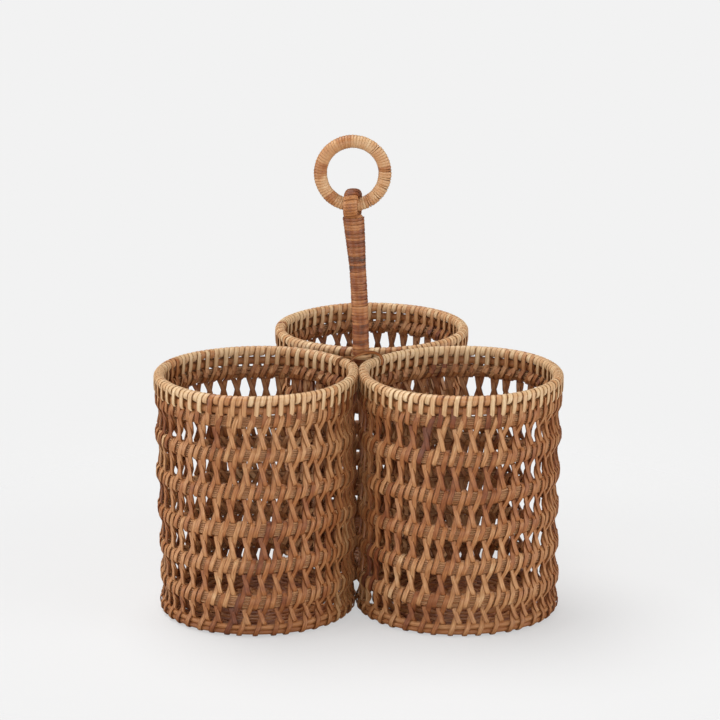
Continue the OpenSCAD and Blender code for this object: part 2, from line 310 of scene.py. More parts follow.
def lay_strip(path, side, width, thickness, crown=0.12, tone=0.4):
    """A flat strip along a path of points, with its width along side and its outer face crowned.

    path and side are arrays with a row for each station; width and tone may differ between stations.
    """
    select_only()
    bpy.ops.mesh.primitive_grid_add(x_subdivisions=len(path) - 1, y_subdivisions=2, size=1)
    strip = bpy.context.object
    grid = points_of(strip)
    station = np.rint((grid[:, 0] + 0.5) * (len(path) - 1)).astype(int)
    across = np.rint(grid[:, 1] * 2).astype(int)
    tangent = unit(np.gradient(path, axis=0))
    side = unit(side - tangent * np.sum(side * tangent, axis=1, keepdims=True))
    out = np.cross(tangent, side)
    half = np.broadcast_to(np.asarray(width) / 2, len(path))[station]
    bump = np.where(across == 0, crown * thickness, -crown * thickness)
    places = path[station] + side[station] * (across * half)[:, None] + out[station] * bump[:, None]
    move_points(strip, places)
    run = np.concatenate([[0], np.cumsum(np.linalg.norm(np.diff(path, axis=0), axis=1))])
    tone_there = np.broadcast_to(np.asarray(tone), len(path))[station]
    write_grain(strip, across / 2 + 0.5, run[station] / MM, tone_there)
    solid = strip.modifiers.new("thickness", "SOLIDIFY")
    solid.thickness = thickness
    solid.offset = 0
    apply_all(strip)
    return strip


def cane_ring(radius, depth, tall, middle, around=126, across=10):
    """A ring of cane about the upright axis. depth is half its width, and tall half its height."""
    select_only()
    bpy.ops.mesh.primitive_torus_add(
        major_radius=radius, minor_radius=depth, major_segments=around, minor_segments=across
    )
    ring = bpy.context.object
    points = points_of(ring)
    points[:, 2] = points[:, 2] * tall / depth + middle
    move_points(ring, points)
    return ring


def repeat_round(strip, count):
    """Repeats a strip round the upright axis through the origin."""
    select_only()
    bpy.ops.object.empty_add()
    step = bpy.context.object
    step.rotation_euler.z = -math.tau / count
    array = strip.modifiers.new("round", "ARRAY")
    array.count = count
    array.use_relative_offset = False
    array.use_object_offset = True
    array.offset_object = step
    apply_all(strip)
    bpy.data.objects.remove(step)


def by_hand(piece, copies, dice, turn, lean, out):
    """Shifts each copy a little round the cup, leans it and lifts it, as a hand would leave it."""
    each = len(piece.data.vertices) // copies
    points = points_of(piece)
    angle = np.arctan2(points[:, 1], points[:, 0])
    radius = np.hypot(points[:, 0], points[:, 1])
    low, high = points[:, 2].min(), points[:, 2].max()
    up = (points[:, 2] - (low + high) / 2) / (high - low)
    turns = np.repeat([dice.uniform(-turn, turn) for _ in range(copies)], each)
    leans = np.repeat([dice.uniform(-lean, lean) for _ in range(copies)], each)
    lifts = np.repeat([dice.uniform(0, out) for _ in range(copies)], each)
    angle = angle + (turns + leans * up) / radius
    middle = (radius.min() + radius.max()) / 2
    radius = radius + np.where(radius > middle, lifts, -lifts)
    points[:, 0] = radius * np.cos(angle)
    points[:, 1] = radius * np.sin(angle)
    move_points(piece, points)


def round_path(stations, pitch_angle, radius_at):
    """Turns (pitches to the right, out from the wall, height) stations into points round the origin."""
    rows = []
    sides = []
    for turn, out, height in stations:
        angle = turn * pitch_angle
        reach = radius_at(height) + out
        rows.append((reach * math.cos(angle), reach * math.sin(angle), height))
        sides.append((-math.sin(angle), math.cos(angle), 0))
    return np.array(rows), np.array(sides)


def strips_round(stations, count, radius_at, width, thickness, dice, hand, crown=0.12, **shades):
    """A strip laid through its stations and repeated round the cup, each copy a little its own way.

    hand is how far, in millimetres, a copy may be turned, leaned and lifted.
    """
    path, side = round_path(stations, math.tau / count, radius_at)
    strips = lay_strip(path, side, width, thickness, crown)
    repeat_round(strips, count)
    by_hand(strips, count, dice, *(far * MM for far in hand))
    write_tones(strips, tones(count, dice, **shades))
    return strips


def waves(table, angle, seed, height):
    """The sum of some slow waves, in millimetres."""
    return sum(
        far * np.sin(number * angle + shift * seed + height / slope)
        for far, number, shift, slope in table
    )


def warp(points, cup):
    """How a hand-made wall wanders at each point: outwards and upwards, in metres."""
    habit = cup.habit
    angle = np.arctan2(points[:, 1], points[:, 0])
    height = points[:, 2] / MM
    # The rim and the foot hold the wall
    loose = np.clip((WALL_TOP - height) / 30, 0.25, 1) * np.clip(height / 12, 0, 1)
    # The wall leans from its foot up, and its rim stays upright
    lean = np.interp(
        height, (0, 12, 60, 120, 137), (habit.foot, habit.foot, habit.waist, 0.6 * habit.waist, 0)
    )
    facing = np.clip(np.cos(angle - math.radians(habit.toward)), 0, 1) ** 2
    # The ties draw the rim over a short way, and the wall just under it
    near = np.exp(-((angle - math.radians(habit.meeting)) / 0.27) ** 2)
    near = near * np.clip((height - 100) / 30, 0, 1)
    # The hoops in the middle of the wall rise or dip most
    swell = np.sin(np.pi * np.clip(height / WALL_TOP, 0, 1) ** 1.6) ** 2
    out = waves(OUT_WAVES, angle, cup.seed, height) * loose + lean * facing + habit.drawn * near
    up = waves(UP_WAVES, angle, cup.seed, height) * loose - habit.rise * swell * np.sin(angle)
    return out * MM, up * MM


def place_in_cup(piece, cup, wander):
    """Lets a piece that is built round the origin wander with its wall, and sets it at its cup."""
    points = points_of(piece)
    if wander:
        out, up = warp(points, cup)
        points[:, :2] *= (1 + out / np.hypot(points[:, 0], points[:, 1]))[:, None]
        points[:, 2] += up
    move_points(piece, points + np.array((cup.axis.x, cup.axis.y, 0)))


def shade(piece, angle):
    """Smooth shading, with the edges sharper than the angle kept."""
    select_only(piece)
    bpy.ops.object.shade_smooth_by_angle(angle=math.radians(angle))


def finish(piece, name, look, node=None, cup=None, wander=True, angle=50, body="root"):
    """Sets a piece at its cup, smooths it, gives it its look and ties it to the frame.

    The names of a cup's pieces and nodes start with its side, which is put before them here.
    """
    side = ""
    if cup:
        side = f"{cup.side}_"
        place_in_cup(piece, cup, wander)
    shade(piece, angle)
    finish_with(piece, look)
    piece.name = side + name
    piece.data.name = side + name
    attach(piece, body)
    if node:
        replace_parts(piece, side + node)


# ---- materials ----


def add(tree, kind, inputs=None, **settings):
    """Adds a node: its settings, and its inputs, each a value, or the node or socket that feeds it."""
    node = tree.nodes.new(f"ShaderNode{kind}")
    for name, value in settings.items():
        setattr(node, name, value)
    for name, value in (inputs or {}).items():
        if isinstance(value, bpy.types.Node):
            value = value.outputs[0]
        if isinstance(value, bpy.types.NodeSocket):
            tree.links.new(value, node.inputs[name])
        else:
            node.inputs[name].default_value = value
    return node


def empty_tree(owner):
    """The node tree of a new material or world, with nothing in it."""
    owner.use_nodes = True
    owner.node_tree.nodes.clear()
    return owner.node_tree


def set_ramp(ramp, stops):
    """Gives a colour ramp its stops."""
    elements = ramp.color_ramp.elements
    while len(elements) > 1:
        elements.remove(elements[-1])
    for i, (place, value) in enumerate(stops):
        stop = elements[0] if i == 0 else elements.new(place)
        stop.position = place
        stop.color = (*value, 1)


def peeled_cane(name, shades, fibre=0.35, edge=0.55, rough=0.5):
    """Flat strip of peeled rattan: a dull sheen, fine fibres along it, and painted shade, with some
    dirt, where strips meet.

    Real fibres are about 0.2 mm wide; they are drawn at 0.5 mm, six to a strip, so that they show.
    Each runs on for about 8 mm, and stains lie in patches of about 7 mm. fibre is how much darker
    a fibre may be, edge how much of its brightness the strip keeps at its edges, where shade and
    some dirt between strips are painted in, and rough how rough it is.
    """
    tree = empty_tree(bpy.data.materials.new(name))
    tone = add(tree, "Attribute", attribute_name="tone")
    across = add(tree, "Attribute", attribute_name="across")
    along = add(tree, "Attribute", attribute_name="along")
    lane = add(tree, "Math", {0: across.outputs["Fac"], 1: FIBRES_ACROSS}, operation="MULTIPLY")
    run = add(tree, "Math", {0: along.outputs["Fac"], 1: FIBRE_RUN}, operation="MULTIPLY")
    own = add(tree, "Math", {0: tone.outputs["Fac"], 1: OWN_FIBRES}, operation="MULTIPLY")
    place = add(tree, "CombineXYZ", {"X": lane, "Y": run, "Z": own})
    fibres = add(tree, "TexNoise", {"Vector": place, "Scale": 1.0, "Detail": 3.0, "Roughness": 0.65})
    where = add(tree, "TexCoord")
    patches = add(tree, "TexNoise", {
        "Vector": where.outputs["Object"], "Scale": PATCHES, "Detail": 2.0,
    })
    # The patches take a tone up or down by up to 0.3
    shift = add(tree, "Math", {0: patches.outputs["Fac"], 1: 0.6, 2: -0.3}, operation="MULTIPLY_ADD")
    mixed_tone = add(tree, "Math", {
        0: tone.outputs["Fac"], 1: shift,
    }, operation="ADD", use_clamp=True)
    ramp = add(tree, "ValToRGB", {"Fac": mixed_tone})
    set_ramp(ramp, shades)
    strength = add(tree, "MapRange", {
        "Value": fibres.outputs["Fac"], "From Min": 0.3, "From Max": 0.7,
        "To Min": 1 - fibre, "To Max": 1.0,
    })
    # The strip darkens towards its edges: painted shade, with some dirt, where strips meet
    from_middle = add(tree, "Math", {0: across.outputs["Fac"], 1: 0.5}, operation="SUBTRACT")
    off = add(tree, "Math", {0: from_middle}, operation="ABSOLUTE")
    meeting = add(tree, "MapRange", {
        "Value": off, "From Min": 0.3, "From Max": 0.5, "To Min": 1.0, "To Max": edge,
    })
    # Dark grain and painted edge shade are warm: they lose more green than red, and most blue
    red = add(tree, "Math", {0: strength, 1: meeting}, operation="MULTIPLY")
    green = add(tree, "Math", {0: red, 1: 1.4}, operation="POWER")
    blue = add(tree, "Math", {0: red, 1: 1.95}, operation="POWER")
    tint = add(tree, "CombineXYZ", {"X": red, "Y": green, "Z": blue})
    skin_colour = add(tree, "VectorMath", {0: ramp.outputs["Color"], 1: tint}, operation="MULTIPLY")
    dull = add(tree, "MapRange", {
        "Value": fibres.outputs["Fac"], "From Min": 0.3, "From Max": 0.7,
        "To Min": rough + 0.1, "To Max": rough - 0.06,
    })
    bump = add(tree, "Bump", {
        "Height": fibres.outputs["Fac"], "Strength": 0.35, "Distance": 0.15 * MM,
    })
    skin = add(tree, "BsdfPrincipled", {
        "Base Color": skin_colour, "Roughness": dull,
        "IOR": 1.5, "Specular IOR Level": 0.35, "Normal": bump,
    })
    add(tree, "OutputMaterial", {"Surface": skin})


def finishes():
    """The looks of the cane, made once. Each has its colours by tone, from pale, 0, to stained, 1."""
    if "peeled_rattan_lacing" not in bpy.data.materials:
        c = bpy.context.scene.cane_colours
        brown = [(0.0, c.honey), (0.5, c.tan), (1.0, c.russet)]
        fine = [(0.0, c.straw), (0.3, c.honey), (0.6, c.tan), (0.8, c.russet), (1.0, c.stain)]
        # Strip of rattan peel, scraped and laced dry: satin, plainly fibrous, some lengths plum
        peeled_cane("peeled_rattan_lacing", [
            (0.0, c.straw), (0.25, c.honey), (0.55, c.tan), (0.8, c.russet), (1.0, c.plum),
        ], fibre=0.5)
        # The palest peel, rubbed smooth by hands: more sheen, and darker painted shade and dirt where
        # wraps meet
        peeled_cane("peeled_rattan_rim", [
            (0.0, c.straw), (0.45, c.honey), (0.8, c.tan), (1.0, c.russet),
        ], edge=0.4, rough=0.4)
        # Rattan core split into splints: even, pale and matt
        peeled_cane("split_rattan_splint", [
            (0.0, c.honey), (0.4, c.pith), (1.0, c.tan),
        ], fibre=0.3, edge=0.62)
        # Whole round cane with its skin scraped off: brown and matt
        peeled_cane("round_rattan_cane", brown)
        # Flat bars and thin round cane, woven and left rough: as brown and as matt
        peeled_cane("woven_rattan_floor", brown)
        # Fine peel wound tight round the post and loop: smooth, even, with soft painted shade between
        # turns
        peeled_cane("fine_rattan_strip", fine, fibre=0.25, edge=0.68, rough=0.42)
        # The same strip on the ring, with darker painted shade between turns, where the tighter bend
        # opens them
        peeled_cane("ring_rattan_strip", fine, fibre=0.25, edge=0.45, rough=0.42)
        # The ring's cane, seen only between its turns: near black, for a dirty core and painted shade in
        # the gaps
        peeled_cane("dark_core_dirt_and_painted_shade", [(0.0, c.stain), (1.0, c.stain)])
    return bpy.data.materials


def finish_with(piece, look):
    """Gives a piece one look."""
    piece.data.materials.clear()
    piece.data.materials.append(finishes()[look])


# ---- cups ----


class Cup:
    """One cup's places, read from the frame."""

    def __init__(self, side, sizes):
        self.side = side
        self.seed = 1.7 * SIDES.index(side) + 0.4
        self.habit = HABITS[side]
        low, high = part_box(f"{side}_rim_core")
        self.axis = (low + high) / 2
        self.core_radius = (high.z - low.z) / 2
        self.rim_radius = (high.x - low.x) / 2 - self.core_radius
        self.rim_height = self.axis.z
        half = sizes.hoop_depth / 2
        names = [f"{side}_splint_hoop_{k}" for k in range(1, ROWS + 1)] + [f"{side}_foot_hoop"]
        self.bands = []
        for k, name in enumerate(names, 1):
            low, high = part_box(name)
            bottom, top = low.z, high.z
            # The lacing draws the hoops between the top one and the foot together and down
            if 1 < k <= ROWS:
                bottom -= sizes.hoop_sag * math.sin(math.pi * (k - 1.6) / (ROWS - 0.8))
                top = bottom + sizes.hoop_height
            self.bands.append(Band(bottom, top, (high.x - low.x) / 2 - half))
        low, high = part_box(f"{side}_rim_hoop")
        self.rim_hoop = Band(low.z, high.z, self.rim_radius)
        # The strips pass under the foot, so its cane starts above the ground
        under = sizes.strip_thickness + 0.25 * MM
        foot = self.bands[-1]
        self.bands[-1] = Band(foot.low + under, foot.high, foot.radius)
        self.half_bundle = half - sizes.strip_thickness - CLEAR

    def wall(self, height):
        """The wall's middle radius at a height."""
        top, foot = self.bands[0], self.bands[-1]
        share = (height - foot.low) / (top.high - foot.low)
        return foot.radius + (top.radius - foot.radius) * share


def cups():
    """The three cups."""
    sizes = bpy.context.scene.weave_sizes
    return [Cup(side, sizes) for side in SIDES]


def splint_bundle(cup, band, dice, splints):
    """A hoop as a bundle of flattened splints that lie one over the other."""
    bundle = []
    step = (band.high - band.low) / splints
    tall = step * SPLINT_PRESS
    shift = dice.uniform(0, 1)
    for i in range(splints):
        share = (i + 0.5) / splints
        # The bundle is rounded: its top and bottom splints are the shallowest
        full = 1 - 0.32 * abs(2 * share - 1) ** 2.2
        depth = cup.half_bundle * full * dice.uniform(0.94, 1.03)
        middle = band.low + (i + 0.5) * step
        splint = cane_ring(band.radius, depth, tall, middle, across=8)
        points = points_of(splint)
        angle = np.arctan2(points[:, 1], points[:, 0])
        across = (points[:, 2] - middle) / (2 * tall) + 0.5
        points[:, 2] += 0.16 * MM * np.sin(angle * (5 + i) + 7 * shift + 2 * i)
        move_points(splint, points)
        write_grain(splint, across, angle * band.radius / MM, dice.uniform(0.1, 0.8))
        bundle.append(splint)
    return join(bundle)


def stitch_stations(cup, top, low, strip):
    """One figure of eight: down over two hoops, under the lower one, and back up behind both.

    Each station is (pitches to the right, out from the wall, height). The way down leans to the left
    and passes behind the way up where they cross, in the middle of the gap.
    """
    face = cup.half_bundle + strip / 2 + CLEAR
    edge = strip / 2 + 0.1 * MM
    under = 1.2 * MM
    top_mid = (top.low + top.high) / 2
    low_mid = (low.low + low.high) / 2

    def gap(share):
        return top.low - share * (top.low - low.high)

    return [
        (0.16, -face - 0.75 * MM, top_mid),
        (0.05, -face - 0.2 * MM, top.high - 1.4 * MM),
        (0.02, -under, top.high + edge),
        (-0.01, under, top.high + edge),
        (-0.04, face - 0.25 * MM, top.high - 1.1 * MM),
        (-0.12, face, top_mid),
        (-0.21, face - 0.1 * MM, top.low + 0.9 * MM),
        (-0.27, 1.7 * MM, gap(0.1)),
        (-0.37, 0.3 * MM, gap(0.3)),
        (-0.46, -0.5 * MM, gap(0.5)),
        (-0.55, -0.1 * MM, gap(0.7)),
        (-0.63, 1.3 * MM, gap(0.92)),
        (-0.68, face - 0.15 * MM, low.high - 1.0 * MM),
        (-0.78, face, low_mid),
        (-0.87, face - 0.25 * MM, low.low + 1.0 * MM),
        (-0.9, under, low.low - edge),
        (-0.9, -under, low.low - edge),
        (-0.86, 0.1 * MM - face, low.low + 1.2 * MM),
        (-0.6, -face, low_mid),
        (-0.36, 0.2 * MM - face, low.high - 1.2 * MM),
        (-0.3, -1.3 * MM, low.high + edge),
        (-0.28, 0.8 * MM, low.high + edge),
        (-0.29, 1.6 * MM, low.high + 1.6 * MM),
        (-0.38, 1.2 * MM, gap(0.72)),
        (-0.46, 0.6 * MM, gap(0.5)),
        (-0.55, 0.7 * MM, gap(0.28)),
        (-0.62, 0.4 * MM, gap(0.08)),
        (-0.66, -1.2 * MM, top.low - 0.3 * MM),
        (-0.73, -face - 0.1 * MM, top.low + 1.2 * MM),
        (-0.84, -face - 0.75 * MM, top_mid),
    ]


def lacing_row(cup, k, dice, sizes):
    """One row: the figure of eight, repeated round the cup."""
    thickness = sizes.strip_thickness
    stations = stitch_stations(cup, cup.bands[k - 1], cup.bands[k], thickness)
    return strips_round(
        stations, sizes.stitches, cup.wall, sizes.strip_width, thickness, dice,
        hand=(0.75, 1.3, 0.25),
    )


def rim_stations(cup, long, thickness, thin_hoop):
    """A wrap round the rim's core, and round the thin hoop under it where the wrap is long."""
    out = cup.core_radius + thickness / 2 + 0.1 * MM
    hoop = cup.rim_hoop
    flat = thin_hoop / 2 + thickness / 2 + 0.15 * MM

    def on_core(places):
        turns = [(turn, math.radians(degrees)) for turn, degrees in places]
        return [(turn, out * math.cos(a), cup.rim_height + out * math.sin(a)) for turn, a in turns]

    over = on_core(((0.1, 125), (0.03, 90), (-0.07, 55), (-0.17, 25), (-0.27, -8)))
    if long:
        around = [
            (-0.35, flat + 0.55 * MM, hoop.high - 0.8 * MM),
            (-0.4, flat + 0.35 * MM, hoop.low + 1.0 * MM),
            (-0.42, flat - 0.3 * MM, hoop.low - 0.35 * MM),
            (-0.44, 0.0, hoop.low - thickness / 2 - 0.1 * MM),
            (-0.46, 0.3 * MM - flat, hoop.low - 0.35 * MM),
            (-0.5, -flat - 0.3 * MM, hoop.low + 1.0 * MM),
            (-0.58, -flat - 0.5 * MM, hoop.high - 0.8 * MM),
        ]
    else:
        around = on_core(((-0.34, -38), (-0.39, -66), (-0.44, -94), (-0.49, -122), (-0.54, -150)))
    inside = on_core(((-0.66, 188), (-0.74, 160), (-0.82, 130), (-0.88, 105)))
    return over + around + inside


def rim_wraps(cup, long, dice, sizes):
    """All the long wraps of a rim, or all the short ones between them."""
    thickness = sizes.strip_thickness + 0.05 * MM
    # A wrap leans by half a pitch, and the short ones start half a pitch on from the long ones
    shift = 0.0 if long else 0.5
    stations = [
        (0.5 * turn + shift, out, height)
        for turn, out, height in rim_stations(cup, long, thickness, sizes.thin_hoop)
    ]
    return strips_round(
        stations, sizes.rim_wraps, lambda height: cup.rim_radius,
        sizes.long_wrap_width if long else sizes.short_wrap_width, thickness, dice,
        hand=(0.3, 0.5, 0.0), crown=0.2, pale=0.72, stained=0.05,
    )


def rim_cane(cup):
    """The rim's own round cane."""
    return cane_ring(cup.rim_radius, cup.core_radius, cup.core_radius, cup.rim_height)


def under_hoop(cup, sizes):
    """The thin flat hoop under the rim."""
    tall = (cup.rim_hoop.high - cup.rim_hoop.low) / 2
    return cane_ring(cup.rim_radius, sizes.thin_hoop / 2, tall, cup.rim_hoop.low + tall)


def collar_wraps(cup, dice, sizes):
    """Strips that bind the thin rim hoop to the first splint hoop, between the rim's long wraps."""
    thickness = sizes.strip_thickness
    hoop = cup.rim_hoop
    band = cup.bands[0]
    face = cup.half_bundle + thickness / 2 + CLEAR
    flat = sizes.thin_hoop / 2 + thickness / 2 + 0.1 * MM
    out_hoop = flat + cup.rim_radius - cup.wall(hoop.low)
    in_hoop = -flat + cup.rim_radius - cup.wall(hoop.low)
    mid = (band.low + band.high) / 2
    stations = [
        (0.64, in_hoop, hoop.high - 0.6 * MM),
        (0.62, -1.2 * MM, hoop.high + 0.3 * MM),
        (0.61, 1.2 * MM, hoop.high + 0.3 * MM),
        (0.6, out_hoop, hoop.high - 0.6 * MM),
        (0.56, out_hoop, hoop.low + 0.8 * MM),
        (0.52, face - 0.1 * MM, band.high - 0.6 * MM),
        (0.46, face, mid),
        (0.4, face - 0.2 * MM, band.low + 1.2 * MM),
        (0.38, 1.2 * MM, band.low - thickness / 2 - 0.1 * MM),
        (0.37, -1.2 * MM, band.low - thickness / 2 - 0.1 * MM),
        (0.32, 0.1 * MM - face, band.low + 1.4 * MM),
        (0.12, -face, mid),
        (-0.08, 0.1 * MM - face, band.high - 0.8 * MM),
        (-0.23, in_hoop, hoop.low + 0.8 * MM),
        (-0.36, in_hoop, hoop.high - 0.8 * MM),
    ]
    return strips_round(
        stations, sizes.rim_wraps, cup.wall, sizes.strip_width, thickness, dice,
        hand=(0.4, 0.5, 0.0),
    )


def floor_mat(cup, dice, sizes):
    """The woven floor: bars across the cup, and rings of thin cane over and under them."""
    low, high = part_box(f"{cup.side}_floor")
    reach = (high.x - low.x) / 2
    middle = (low.z + high.z) / 2
    spots = np.linspace(-reach + 0.4 * MM, reach - 0.4 * MM, 15)
    mat = []
    for i in range(sizes.floor_bars):
        turn = math.pi * i / sizes.floor_bars
        way = Vector((math.cos(turn), math.sin(turn), 0))
        lift = (i % 2) * 0.3 * MM
        path = np.array([way * spot + Vector((0, 0, middle + lift)) for spot in spots])
        side = np.tile((way.y, -way.x, 0), (len(path), 1))
        mat.append(lay_strip(
            path, side, BAR_WIDTH * MM, BAR_THICKNESS * MM, tone=dice.uniform(0.3, 0.7)
        ))
    step = (reach - HUB * MM) / sizes.floor_weavers
    cane = step * 0.47
    rise = (high.z - low.z) / 2 - cane
    for i in range(sizes.floor_weavers):
        weaver = cane_ring(
            HUB * MM + (i + 0.5) * step, cane, cane, middle, around=12 * sizes.floor_bars, across=6
        )
        points = points_of(weaver)
        angle = np.arctan2(points[:, 1], points[:, 0])
        points[:, 2] += rise * np.cos(sizes.floor_bars * angle + math.pi * (i % 2))
        move_points(weaver, points)
        across = points[:, 2] / (high.z - low.z)
        write_grain(weaver, across, angle * (HUB + i * step / MM), dice.uniform(0.2, 0.8))
        mat.append(weaver)
    return join(mat)


# ---- post, loop and ring ----


class Post:
    """The post's axis, its bent loop and the ring that hangs in it, read from the frame."""

    def __init__(self, sizes):
        low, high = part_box("ring_core")
        self.ring_centre = (low + high) / 2
        self.tube = (high.y - low.y) / 2
        self.ring_line = (high.x - low.x) / 2 - self.tube
        self.hinge = self.ring_centre - Vector((0, 0, self.ring_line))
        low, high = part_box("post_core")
        self.radius = sizes.post_width / 2
        self.neck_radius = sizes.neck_width / 2
        self.flare = sizes.flare
        self.foot = Vector((high.x - self.radius, self.hinge.y, low.z))
        self.outer = high.z - self.hinge.z
        self.loop_line = self.outer - sizes.strap_thickness / 2
        # The legs of the loop come together where the strap's outside meets the neck
        self.neck_top = self.hinge.z - math.sqrt(self.outer ** 2 - self.neck_radius ** 2)
        self.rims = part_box("back_rim_binding")[1].z
        self.up = (self.hinge - self.foot).normalized()

    def at(self, height):
        """The point of the post's axis at a height: the cane bows a little to the right."""
        share = min(1, max(0, (height - self.rims) / (self.neck_top - self.rims)))
        straight = self.foot + self.up * ((height - self.foot.z) / self.up.z)
        return straight + Vector((POST_BOW * MM * math.sin(math.pi * share), 0, 0))

    def core(self, height):
        """The radius of the post's cane at a height."""
        share = (height - self.neck_top + self.flare) / self.flare
        return self.radius + (self.neck_radius - self.radius) * min(1, max(0, share))

    def on_loop(self, degrees, side, out):
        """A point on the bent loop, in degrees forwards from its top, sideways and outwards."""
        a = math.radians(degrees)
        reach = self.loop_line + out
        forwards = reach * math.sin(a)
        return self.hinge + Vector((side - LOOP_SKEW * forwards, -forwards, reach * math.cos(a)))


def stained(place, own, stains):
    """The tone at a place along a strip: its own, or that of the stain there."""
    for low, high, tone in stains:
        if low <= place <= high:
            return tone
    return own


def wound(turns, steps, place, pitch_at, dice, tone_at, thickness, crown, fill=0.97, tint=0.1):
    """One unbroken strip wound round a core.

    place(turn, out) gives a point and the way along the core; pitch_at(turn) the room for a turn
    and tone_at(turn) its tone. Each turn has its own width, lift and tint.
    """
    each = range(int(turns) + 2)
    lifts = [dice.uniform(0, TURN_LIFT) * MM for _ in each]
    wides = [dice.uniform(0.9, 1.0) * fill for _ in each]
    tints = [dice.uniform(-tint, tint) for _ in each]
    rows = []
    for i in range(int(turns * steps) + 1):
        turn = i / steps
        k = int(turn + 0.5)
        point, along = place(turn, thickness / 2 + CLEAR + lifts[k])
        tone = min(1, max(0, tone_at(turn) + tints[k]))
        rows.append((point, along, pitch_at(turn) * wides[k], tone))
    path, side, width, tone = (np.array(column) for column in zip(*rows))
    return lay_strip(path, side, width, thickness, crown, tone)


def post_winding(post, dice, sizes):
    """The strip round the post, finer below and broader on the neck."""
    low, high = post.rims - 7 * MM, post.neck_top - 0.6 * MM
    turns = sizes.post_turns
    # A fifth of the turns bind the neck, on a quarter of the length
    stops = (0, 0.8 * turns, turns), (low, low + 0.74 * (high - low), high)

    def height(turn):
        uneven = 0.3 * math.sin(1.7 * turn) + 0.17 * math.sin(4.3 * turn)
        return float(np.interp(turn, *stops)) + uneven * MM * min(1, turn / 3, (turns - turn) / 3)

    def place(turn, out):
        z = height(turn)
        reach = post.core(z) + out
        angle = math.tau * turn
        return post.at(z) + Vector((reach * math.cos(angle), reach * math.sin(angle), 0)), post.up

    def pitch(turn):
        return height(turn + 0.5) - height(turn - 0.5) + CLEAR

    def tone(turn):
        over_rims = (height(turn) - post.rims) / MM
        return stained(over_rims, 0.71 + 0.05 * math.sin(over_rims / 6.5), POST_STAINS)

    return wound(turns, 16, place, pitch, dice, tone, FINE_STRIP * MM, crown=0.12)


def loop_winding(post, dice, sizes):
    """The strip round the bent loop: broad wraps over its top, finer ones down its legs."""
    turns = sizes.loop_turns
    stops = (0, 0.34 * turns, 0.71 * turns, turns), (-140, -62, 74, 140)
    squareness = 2.6

    def degrees(turn):
        return float(np.interp(turn, *stops))

    def place(turn, out):
        angle = math.tau * turn
        # A rounded rectangle round the strap
        sums = abs(math.cos(angle)) ** squareness + abs(math.sin(angle)) ** squareness
        squarish = sums ** (-1 / squareness)
        side = (sizes.strap_width / 2 + out) * math.cos(angle) * squarish
        lift = (sizes.strap_thickness / 2 + out) * math.sin(angle) * squarish
        a = math.radians(degrees(turn))
        return post.on_loop(degrees(turn), side, lift), Vector((0, -math.cos(a), -math.sin(a)))

    def pitch(turn):
        return math.radians(degrees(turn + 0.5) - degrees(turn - 0.5)) * post.outer

    def tone(turn):
        return 0.68

    return wound(turns, 16, place, pitch, dice, tone, LOOP_STRIP * MM, crown=0.25, fill=0.95)


def ring_winding(post, dice, sizes):
    """The strip round the carrying ring."""
    turns = sizes.ring_turns
    slips = [round(place / 360 * turns) for place in RING_SLIPS]

    def place(turn, out):
        round_ring = math.tau * turn / turns
        reach = post.tube + out
        angle = math.tau * turn
        radius = post.ring_line + reach * math.cos(angle)
        way = Vector((math.cos(round_ring), 0, -math.sin(round_ring)))
        spot = Vector((
            radius * math.sin(round_ring), reach * math.sin(angle), radius * math.cos(round_ring)
        ))
        return post.ring_centre + spot, -way

    def pitch(turn):
        full = math.tau * (post.ring_line + post.tube) / turns
        return full * (SLIPPED if round(turn) in slips else 1.0)

    def tone(turn):
        return stained(360 * turn / turns, 0.25, RING_STAINS)

    return wound(
        turns, 12, place, pitch, dice, tone, FINE_STRIP * MM, crown=0.2, fill=0.94, tint=0.06
    )


def post_cane(post, sizes):
    """The post's own cane: a round rod that widens to its neck, and the bent strap on it."""
    step = 0.01
    select_only()
    bpy.ops.mesh.primitive_cylinder_add(vertices=24, radius=post.radius, depth=step)
    rod = bpy.context.object
    heights = [post.foot.z, post.neck_top - post.flare, post.neck_top, post.neck_top + 1.2 * MM]
    radii = [post.radius, post.radius, post.neck_radius, post.neck_radius - 1 * MM]
    bpy.ops.object.mode_set(mode="EDIT")
    bpy.ops.mesh.select_mode(type="FACE")
    # The rod's end is drawn out once for the neck and once for the shoulder under the loop
    for _ in heights[2:]:
        bpy.ops.mesh.select_all(action="DESELECT")
        bpy.ops.object.mode_set(mode="OBJECT")
        top = max(rod.data.polygons, key=lambda face: face.center.z)
        top.select = True
        bpy.ops.object.mode_set(mode="EDIT")
        bpy.ops.mesh.extrude_region_move(TRANSFORM_OT_translate={"value": (0, 0, step)})
    bpy.ops.object.mode_set(mode="OBJECT")
    points = points_of(rod)
    level = np.rint((points[:, 2] - points[:, 2].min()) / step).astype(int)
    for i, k in enumerate(level):
        points[i] = post.at(heights[k]) + Vector(points[i] * (1, 1, 0)).normalized() * radii[k]
    move_points(rod, points)
    write_grain(rod, 0.5, (points[:, 2] - post.foot.z) / MM, 0.45)
    path = np.array([post.on_loop(degrees, 0, 0) for degrees in np.linspace(-150, 150, 41)])
    strap = lay_strip(
        path, np.tile((1.0, 0, 0), (len(path), 1)), sizes.strap_width - 0.6 * MM,
        sizes.strap_thickness, 0,
    )
    return join([rod, strap])


